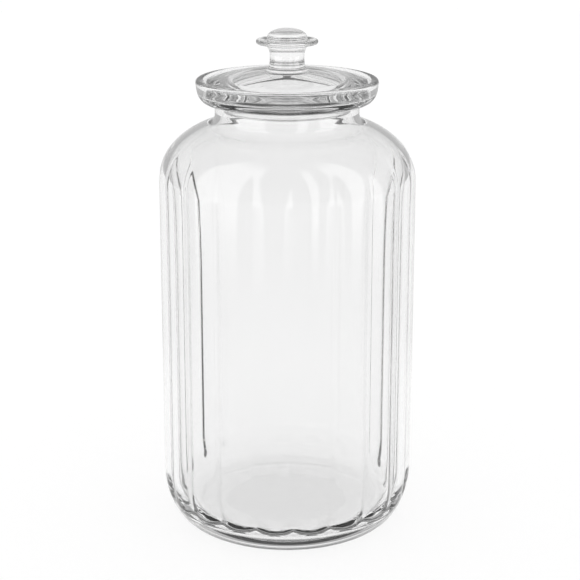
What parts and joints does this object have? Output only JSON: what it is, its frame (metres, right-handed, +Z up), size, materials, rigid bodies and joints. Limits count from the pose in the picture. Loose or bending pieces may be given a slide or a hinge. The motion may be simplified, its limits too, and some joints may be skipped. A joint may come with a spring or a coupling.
{
  "type": "glass storage jar",
  "caption": "Tall round clear glass storage jar with soft vertical flutes, a short neck, a flared collar and a drop-in glass lid with a button knob.",
  "frame": {"origin": "centre of the flat ring that the jar stands on", "axes": "+Z up along the jar's axis of rotation, towards the lid's knob; +X to the right and -Y to the front"},
  "size_m": [0.1794, 0.1794, 0.3564],
  "materials": {
    "jar_glass": "clear pressed and blown soda-lime glass, fire polished",
    "lid_glass": "clear pressed soda-lime glass, fire polished"
  },
  "bodies": {
    "root": {"jar": "jar_glass", "lid": "lid_glass"}
  },
  "joints": []
}
